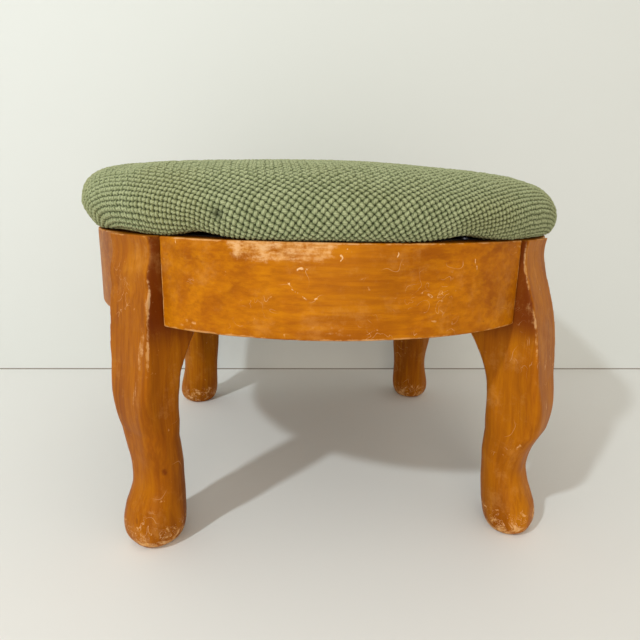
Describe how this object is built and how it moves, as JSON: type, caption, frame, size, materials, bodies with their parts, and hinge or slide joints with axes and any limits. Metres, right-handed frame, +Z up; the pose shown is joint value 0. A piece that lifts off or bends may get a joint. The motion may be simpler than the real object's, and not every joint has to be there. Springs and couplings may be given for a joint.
{
  "type": "upholstered footstool",
  "caption": "Low round upholstered footstool: padded green woven seat on a ring of bowed wooden aprons with cabriole legs set on the diagonals.",
  "frame": {"origin": "on the floor under the middle of the seat", "axes": "+Z up, -Y to the front, the legs on the diagonals"},
  "size_m": [0.33, 0.33, 0.2292],
  "materials": {
    "stained_maple": "satin amber stain, worn pale on the edges",
    "birch_dowel": "bare",
    "bare_softwood": "bare, sawn",
    "zinc_screw": "dull zinc",
    "plywood": "bare",
    "foam": "open foam",
    "cotton_wadding": "soft fibre",
    "green_cloth": "coarse basket weave",
    "blued_tack": "blued",
    "black_cambric": "thin cloth"
  },
  "bodies": {
    "root": {"leg_front_left": "stained_maple", "leg_front_right": "stained_maple", "leg_rear_right": "stained_maple", "leg_rear_left": "stained_maple", "apron_front": "stained_maple", "apron_right": "stained_maple", "apron_rear": "stained_maple", "apron_left": "stained_maple", "dowels_front_left": "birch_dowel", "dowels_front_right": "birch_dowel", "dowels_rear_right": "birch_dowel", "dowels_rear_left": "birch_dowel", "corner_block_front_left": "bare_softwood", "corner_block_front_right": "bare_softwood", "corner_block_rear_right": "bare_softwood", "corner_block_rear_left": "bare_softwood", "block_screws_front_left": "zinc_screw", "block_screws_front_right": "zinc_screw", "block_screws_rear_right": "zinc_screw", "block_screws_rear_left": "zinc_screw", "seat_screw_front_left": "zinc_screw", "seat_screw_front_right": "zinc_screw", "seat_screw_rear_right": "zinc_screw", "seat_screw_rear_left": "zinc_screw", "seat_board": "plywood", "seat_foam": "foam", "seat_wadding": "cotton_wadding", "seat_cover": "green_cloth", "cover_tacks": "blued_tack", "dust_cover": "black_cambric", "dust_cover_tacks": "blued_tack"}
  },
  "joints": []
}
